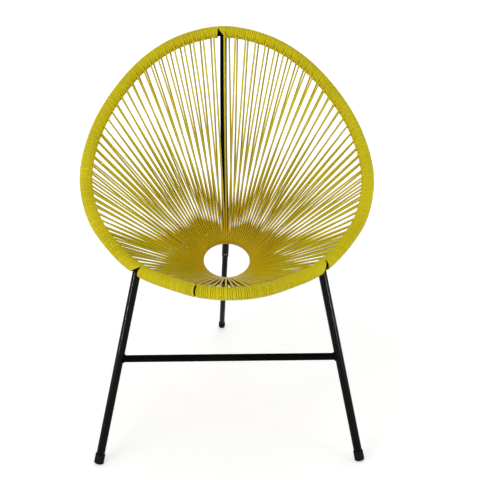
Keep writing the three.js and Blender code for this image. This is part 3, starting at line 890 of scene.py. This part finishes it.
class Parting:
    """Place where the winding parts. The turns before and after it, by their distance from the
    nose, draw back from it on the side away from the meeting angle, less and less over a reach."""

    def __init__(self, at, meet_angle, before, after, reach, stand_off=0.0, post=None):
        self.at = at
        self.meet_angle = meet_angle
        self.slants = {-1: before, 1: after}
        self.reach = reach
        self.stand_off = stand_off
        self.post = post

    def push(self, at, angle, side):
        """How far a turn on one side (-1 before, 1 after) is pushed from the parting."""
        fade = np.clip(1 - np.abs(at - self.at) / self.reach, 0, 1)
        wedge = self.slants[side] * (1 - np.cos(angle - self.meet_angle)) / 2
        return fade * (wedge + self.stand_off)

    def end(self, side, way):
        """Distance at which the cord's end sits, so that its last turn closes on the parting
        at the meeting angle."""
        away = (-way * side * (TAIL_ANGLE - self.meet_angle) % TURN) / TURN
        return self.at + side * (CORD_RADIUS - away * 2 * CORD_RADIUS)


class Stretch:
    """Winding between two partings, towards falling (-1) or growing (1) distance from the nose."""

    def __init__(self, upper, lower, way=-1):
        self.upper = upper
        self.lower = lower
        self.way = way

    def ends(self):
        ends = self.upper.end(-1, self.way), self.lower.end(1, self.way)
        return ends if self.way < 0 else ends[::-1]

    def shifted(self, at, angle):
        return at - self.upper.push(at, angle, -1) + self.lower.push(at, angle, 1)

    def unshifted(self, place, angle):
        """Distance whose turn passes a given place at an angle, kept inside the stretch."""
        margin = END_MARGIN_SHARE * CORD_RADIUS
        low, high = self.lower.at + margin, self.upper.at - margin
        for _ in range(HALVINGS):
            middle = (low + high) / 2
            if self.shifted(middle, angle) < place:
                low = middle
            else:
                high = middle
        return (low + high) / 2

    def off_post(self, place):
        """The place, moved until a run there is clear of a post."""
        for post in (self.upper.post, self.lower.post):
            if post and abs(place - post[0]) < post[1]:
                return post[0] + math.copysign(post[1], place - post[0])
        return place

    def crowding(self, at, angle):
        """Room that a turn has along the hoop, as a share of its room without partings."""
        ahead = self.shifted(at + SLOPE_STEP, angle)
        behind = self.shifted(at - SLOPE_STEP, angle)
        return (ahead - behind) / (2 * SLOPE_STEP)

    def on_hoop(self, at, angle):
        """Points and outward normals of the cord's centre line on the hoop."""
        centre, _, out, up = hoop_place(self.shifted(at, angle))
        normal = np.cos(angle)[..., None] * out + np.sin(angle)[..., None] * up
        return centre + WRAP_RADIUS * normal, normal

    def holds(self, at):
        return self.lower.at < at < self.upper.at


def lift_curve(start, start_tangent, end, end_tangent):
    """Points between two ends, on a curve that leaves and meets them along their tangents."""
    reach = np.linalg.norm(end - start) / 3
    a = start + start_tangent * reach
    b = end - end_tangent * reach
    t = np.linspace(0, 1, LIFT_STEPS + 2)[1:-1, None]
    return (1 - t) ** 3 * start + 3 * t * (1 - t) ** 2 * a + 3 * t ** 2 * (1 - t) * b + t ** 3 * end


class Loop:
    """One loop of cord: where its upper and lower runs touch the hoop and the ring."""

    def __init__(self, index, stretch, place):
        self.stretch = stretch
        wander = rng.normal(0, 1, 4)
        self.place = place + PLACE_WANDER * wander[0]
        self.ring_angle = LOOP_ANGLE * (index + 0.5)
        self.below_angle = below_angle(self.ring_angle, stretch.way)
        self.bow = BOW_WANDER * wander[1:3]
        self.over = self.run(1)
        self.under = self.run(-1)

    def run(self, level):
        """Touch angle on the hoop, touch point there, and the ring's touch point and lift."""
        way = self.stretch.way
        ring_angle = self.ring_angle if level > 0 else self.below_angle
        ring_centre, _ = ring_place(ring_angle)
        angle = np.array(math.radians(180 - level * 90))
        lift = RING_UP * level
        lean = 0.0
        for _ in range(TOUCH_ROUNDS):
            if level > 0:
                at = self.stretch.unshifted(self.place, angle)
                where = self.stretch.shifted(at, angle)
            else:
                at = self.over["at"] + way * PAIR_SPREAD
                where = self.stretch.off_post(self.stretch.shifted(at, angle))
                at = way * max(way * at, way * self.stretch.unshifted(where, angle))
                where += lean
            centre, along, out, up = hoop_place(where)
            target = ring_centre + lift * BEND_RADIUS
            offset = target - centre
            flat = np.array([dot(offset, out), dot(offset, up)])
            swing = math.acos(min(WRAP_RADIUS / np.linalg.norm(flat), 1))
            angle = np.array((math.atan2(flat[1], flat[0]) - level * swing) % TURN)
            point = centre + WRAP_RADIUS * (math.cos(angle) * out + math.sin(angle) * up)
            inward = unit(target - point)
            lift = unit(level * RING_UP - dot(level * RING_UP, inward) * inward)
            lean = LEAN_ARC * math.tan(math.asin(dot(inward, along)))
        return {"at": at, "angle": float(angle), "point": point, "ring": target, "lift": lift}


def loops_in(stretch):
    """The stretch's loops in the order in which its cord is wound."""
    found = []
    for index in range(LOOP_COUNT):
        for lap in (-HOOP_LENGTH, 0, HOOP_LENGTH):
            if stretch.holds(loop_at(index) + lap):
                found.append((loop_at(index) + lap, index))
    found.sort(reverse=stretch.way < 0)
    return [Loop(index, stretch, place) for place, index in found]


class Cord:
    """Path of one length of cord, with its section and its level of wear and painted shade at each
    point.
    """

    def __init__(self):
        self.points, self.normals, self.tall, self.wide, self.wear_and_shade = [], [], [], [], []

    def add(self, points, normals, tall, wide, wear_and_shade):
        count = len(points)
        self.points.append(points)
        self.normals.append(np.broadcast_to(normals, (count, 3)))
        self.tall.append(np.broadcast_to(tall, count))
        self.wide.append(np.broadcast_to(wide, count))
        self.wear_and_shade.append(np.broadcast_to(wear_and_shade, count))

    def coil(self, stretch, start, start_angle, end, end_angle):
        """Turns on the hoop from one place and angle to another. The angle keeps growing."""
        pitch = 2 * CORD_RADIUS
        extra = ((end_angle - start_angle) % TURN) / TURN
        run = abs(start - end)
        whole = max(round(run / pitch - extra), 0)
        turns = whole + extra
        steps = max(int(math.ceil(turns * TURN_STEPS)), 2)
        t = np.linspace(0, 1, steps + 1)
        at = start + (end - start) * t
        angle = start_angle + turns * TURN * t
        points, normals = stretch.on_hoop(at, angle)
        wide = run / turns / 2 * stretch.crowding(at, angle)
        wide = np.clip(wide, NARROWEST_SHARE * CORD_RADIUS, WIDEST_SHARE * CORD_RADIUS)
        self.add(points, normals, CORD_RADIUS, wide, 0.0)
        return turns

    def strand(self, loop, run, outgoing):
        """One run between hoop and ring, with the bend by which it lifts off the hoop."""
        level = 1 if outgoing else -1
        at = np.array(run["at"])
        lift_angle = np.array(run["angle"] - level * LIFT_ANGLE)
        low, low_normal = loop.stretch.on_hoop(at, lift_angle)
        after, _ = loop.stretch.on_hoop(at, lift_angle + SLOPE_ANGLE)
        on_tangent = unit(after - low)
        inward = unit(run["ring"] - run["point"])
        length = np.linalg.norm(run["ring"] - run["point"])
        free = run["point"] + inward * LIFT_RUN
        if outgoing:
            bend = lift_curve(low, on_tangent, free, inward)
        else:
            bend = lift_curve(free, -inward, low, on_tangent)[::-1]
        t = np.array([LIFT_RUN / length, *RUN_SHARES])
        bow = loop.bow[0 if outgoing else 1]
        side = unit(np.cross(inward, run["lift"]))
        line = (run["point"] + t[:, None] * (run["ring"] - run["point"])
                + bow * np.sin(math.pi * t)[:, None] * side)
        points = np.vstack([bend, line])
        far = np.clip(dot(points - run["point"], inward) / length, 0, 1)[:, None]
        normals = unit((1 - far) * low_normal + far * run["lift"])
        ring_pitch = RING_RADIUS * LOOP_ANGLE
        pitch = ring_pitch + (FRONT_PITCH - ring_pitch) * (1 - far[:, 0])
        wide = np.minimum(CORD_RADIUS, CROWDED_SHARE * pitch)
        tall = np.minimum(CORD_RADIUS ** 2 / wide, TALLEST_SHARE * CORD_RADIUS)
        # Darkens towards the ring: partly wear, partly painted shade where the runs crowd
        growth = np.clip((far[:, 0] - WEAR_AND_SHADE_START_SHARE) / WEAR_AND_SHADE_REACH_SHARE, 0, 1) ** WEAR_AND_SHADE_POWER
        wear_and_shade = WEAR_AND_SHADE_AT_HOOP + (1 - WEAR_AND_SHADE_AT_HOOP) * growth
        parts = points, normals, tall, wide, wear_and_shade
        self.add(*(parts if outgoing else (part[::-1] for part in parts)))

    def ring_bend(self, loop):
        """Half turn round the inner side of the ring's rod."""
        turned = loop.below_angle - loop.ring_angle
        middle = (loop.over["point"] + loop.under["point"]) / 2
        angles = np.linspace(0, math.pi, RING_BEND_STEPS + 1)
        squeeze = 1 - INNER_SQUEEZE_SHARE * np.sin(angles)
        wide = CROWDED_SHARE * RING_RADIUS * LOOP_ANGLE * squeeze
        points, normals = [], []
        for angle in angles:
            late = max((angle - BEND_SLANT_FROM) / (math.pi - BEND_SLANT_FROM), 0) ** 2
            centre, out = ring_place(loop.ring_angle + turned * late)
            outward = unit(middle - centre)
            lift = unit(RING_UP - dot(RING_UP, outward) * outward)
            oblique = math.hypot(dot(outward, out), dot(outward, RING_UP))
            reach = BEND_RADIUS / max(oblique, LEAST_OBLIQUE)
            normals.append(lift * math.cos(angle) - outward * math.sin(angle))
            points.append(centre + lift * BEND_RADIUS * math.cos(angle)
                          - outward * reach * math.sin(angle))
        # Full level of wear and painted shade round the ring's rod
        self.add(np.array(points), np.array(normals), TALLEST_SHARE * CORD_RADIUS, wide, 1.0)

    def length(self):
        points = np.vstack(self.points)
        return float(np.linalg.norm(np.diff(points, axis=0), axis=1).sum())

    def shape(self):
        """Vertices and faces, without points that fall together, and each vertex's level of wear
        and painted shade.
        """
        points = np.vstack(self.points)
        keep = np.ones(len(points), bool)
        keep[1:] = np.linalg.norm(np.diff(points, axis=0), axis=1) > LEAST_STEP
        parts = (self.normals, self.tall, self.wide, self.wear_and_shade)
        normals, tall, wide, wear_and_shade = (np.concatenate(part)[keep] for part in parts)
        verts, faces = skin(sweep(points[keep], normals, tall, wide, CORD_SIDES))
        return verts, faces, np.repeat(wear_and_shade, CORD_SIDES)


def wind(name, stretch, replaced):
    """Cord of one stretch: coils and loops in turn, from one parting to the other."""
    cord = Cord()
    turns = 0.0
    start, finish = stretch.ends()
    at, angle = start, TAIL_ANGLE
    for loop in loops_in(stretch):
        over, under = loop.over, loop.under
        leave = over["angle"] - LIFT_ANGLE
        turns += cord.coil(stretch, at, angle, over["at"], leave)
        cord.strand(loop, over, True)
        cord.ring_bend(loop)
        cord.strand(loop, under, False)
        at, angle = under["at"], under["angle"] + LIFT_ANGLE
    turns += cord.coil(stretch, at, angle, finish, TAIL_ANGLE)
    verts, faces, wear_and_shade = cord.shape()
    obj = add_mesh(name, verts, faces, VINYL, "yellow_cord", replaced, None)
    # Per-point level of wear and painted shade, which darkens the cord's colour in its material
    layer = obj.data.attributes.new("wear_and_shade", "FLOAT", "POINT")
    layer.data.foreach_set("value", wear_and_shade.astype(np.float32))
    print(f"{name}: {turns:.0f} turns, {cord.length():.2f} m, {len(verts)} points")
    return cord.length()


def lacing():
    right_leg = Parting(LEG_AT + RIGHT_PART_SHIFT, LEG_PART_ANGLE, RIGHT_PART_BEFORE,
                        RIGHT_PART_AFTER, LEG_PART_REACH)
    left_leg = Parting(HOOP_LENGTH - LEG_AT + LEFT_PART_SHIFT, LEG_PART_ANGLE, LEFT_PART_BEFORE,
                       LEFT_PART_AFTER, LEG_PART_REACH)
    spine_post = (TOP_AT, SPINE_RADIUS + CORD_RADIUS + GAP)
    notch = Parting(TOP_AT + NOTCH_SHIFT, NOTCH_ANGLE, NOTCH_BEFORE, NOTCH_AFTER, NOTCH_REACH,
                    post=spine_post)
    slit_right, slit_left = (Parting(at, NOTCH_ANGLE, 0.0, 0.0, NOTCH_REACH, SLIT_STAND_OFF)
                             for at in (SLIT_AT, SLIT_AT + HOOP_LENGTH))
    sectors = [f"seat_lacing_{number:02d}" for number in range(1, 13)]
    total = wind("cord_right", Stretch(notch, right_leg),
                 ["rim_winding_right"] + sectors[:4])
    total += wind("cord_front_right", Stretch(right_leg, slit_right),
                  ["rim_winding_front_right"] + sectors[4:6])
    total += wind("cord_front_left", Stretch(slit_left, left_leg),
                  ["rim_winding_front_left"] + sectors[6:8])
    total += wind("cord_left", Stretch(left_leg, notch, 1),
                  ["rim_winding_left"] + sectors[8:])
    print(f"cord in all: {total:.1f} m")


# Stage

def combine(tree, operation, first, second):
    node = tree.nodes.new("ShaderNodeMath")
    node.operation = operation
    fill(tree, node, {0: first, 1: second})
    return node.outputs[0]


def is_seen(tree):
    """1 for rays from the camera and for rays that mirrors and glass show."""
    path = tree.nodes.new("ShaderNodeLightPath").outputs
    seen = combine(tree, "MAXIMUM", path["Is Camera Ray"], path["Is Glossy Ray"])
    return combine(tree, "MAXIMUM", seen, path["Is Transmission Ray"])


def floor_paint():
    """White floor. Its glow is seen, also in reflections, but sheds no light."""
    material = bpy.data.materials.new("floor_paint")
    material.use_nodes = True
    tree = material.node_tree
    tree.nodes.clear()
    coords = tree.nodes.new("ShaderNodeTexCoord")
    distance = tree.nodes.new("ShaderNodeVectorMath")
    distance.operation = "LENGTH"
    fill(tree, distance, {0: coords.outputs["Object"]})
    level = spread(tree, distance.outputs["Value"], *FLOOR_GLOW, FLOOR_GLOW_REACH)
    strength = combine(tree, "MULTIPLY", is_seen(tree), level)
    grey = (FLOOR_GREY, FLOOR_GREY, FLOOR_GREY, 1)
    diffuse = add_node(tree, "ShaderNodeBsdfDiffuse", {"Color": grey})
    glow = add_node(tree, "ShaderNodeEmission", {"Strength": strength})
    both = add_node(tree, "ShaderNodeAddShader", {0: diffuse.outputs[0], 1: glow.outputs[0]})
    add_node(tree, "ShaderNodeOutputMaterial", {"Surface": both.outputs[0]})
    return material


def floor():
    size = FLOOR_HALF_SIZE
    mesh = bpy.data.meshes.new("floor")
    mesh.from_pydata([(-size, -size, 0), (size, -size, 0), (size, size, 0), (-size, size, 0)],
                     [], [(0, 1, 2, 3)])
    mesh.materials.append(floor_paint())
    add_object("floor", mesh)


def sky():
    world = bpy.data.worlds.new("studio")
    bpy.context.scene.world = world
    world.use_nodes = True
    tree = world.node_tree
    level = spread(tree, is_seen(tree), *SKY_LEVELS)
    fill(tree, tree.nodes["Background"], {"Color": (1, 1, 1, 1), "Strength": level})


def look(obj, place, toward, roll=0.0):
    """Puts an object at a place with its -Z axis along a direction."""
    forward = unit(np.array(toward, float))
    right = unit(np.cross(forward, vec(0, 0, 1)))
    up = np.cross(right, forward)
    c, s = math.cos(roll), math.sin(roll)
    right, up = c * right + s * up, -s * right + c * up
    rows = [[right[i], up[i], -forward[i], place[i]] for i in range(3)] + [[0, 0, 0, 1]]
    obj.matrix_world = Matrix(rows)


def softbox(name, place, target, size, power):
    """Lamp of a width and height that shines from its place at a target."""
    data = bpy.data.lights.new(name, "AREA")
    data.shape = "RECTANGLE"
    data.size, data.size_y = size
    data.energy = power
    obj = add_object(name, data)
    obj.visible_camera = False
    look(obj, place, np.array(target) - np.array(place))


def camera():
    data = bpy.data.cameras.new("camera")
    data.sensor_width = CAMERA_SENSOR
    data.lens = CAMERA_FOCAL_PIXELS * data.sensor_width / FRAME_PIXELS
    data.shift_x = CAMERA_SHIFT_PIXELS / FRAME_PIXELS
    data.clip_end = CAMERA_CLIP_END
    obj = add_object("camera", data)
    level = math.cos(CAMERA_PITCH)
    toward = (math.sin(CAMERA_YAW) * level, math.cos(CAMERA_YAW) * level, -math.sin(CAMERA_PITCH))
    look(obj, CAMERA_PLACE, toward, CAMERA_ROLL)
    bpy.context.scene.camera = obj


camera()
hoop_tube()
ring_rod()
back_spine()
legs = front_leg(-1, "left"), front_leg(1, "right")
cross_bar(*legs)
rear_leg()
lacing()

# The pegs inside the front legs keep their solids
for name in ("leg_spigot_right", "leg_spigot_left"):
    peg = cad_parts[name]
    peg.data.materials.clear()
    peg.data.materials.append(POWDER)

floor()
sky()
softbox("key", place=(-1.9, -2.6, 2.7), target=(0, 0, 0.5), size=(1.6, 1.2), power=34)
softbox("top", place=(0.2, 0.6, 3.0), target=(0, 0, 0.4), size=(2.0, 2.0), power=15)
softbox("left_strip", place=(-2.67, -1.79, 0.22), target=(-0.22, -0.23, 0.3),
        size=(0.10, 0.42), power=26)
softbox("right_strip", place=(2.55, -2.0, 0.22), target=(0.22, -0.23, 0.3),
        size=(0.10, 0.42), power=28)
bpy.context.scene.view_settings.view_transform = "Standard"
